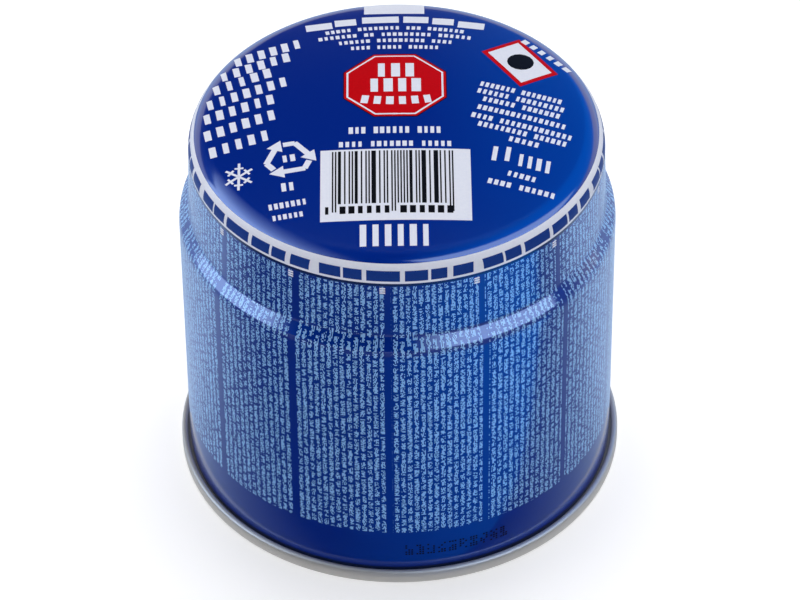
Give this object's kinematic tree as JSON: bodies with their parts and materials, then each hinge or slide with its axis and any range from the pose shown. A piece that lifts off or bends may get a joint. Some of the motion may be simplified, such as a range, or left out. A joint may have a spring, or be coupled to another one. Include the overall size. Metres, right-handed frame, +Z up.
{
  "type": "fuel canister",
  "caption": "Sealed, single-use fuel canister: straight printed steel wall, stepped-in rounded neck, domed top to be pierced, and a recessed base seamed on at the foot.",
  "frame": {"origin": "centre of the circle that the base seam rests on", "axes": "+Z up along the can's axis, through the middle of the domed top"},
  "size_m": [0.0894, 0.0894, 0.084],
  "materials": {
    "blue_lacquer": "glossy blue lacquer on drawn tinplate",
    "tinplate": "bare rolled tinplate at the base end and its seam",
    "white_print": "white ink under clear varnish",
    "red_print": "red ink under clear varnish",
    "dark_print": "black ink under clear varnish",
    "pale_blue_print": "pale blue ink under clear varnish"
  },
  "bodies": {
    "root": {"canister": "blue_lacquer"}
  },
  "joints": []
}
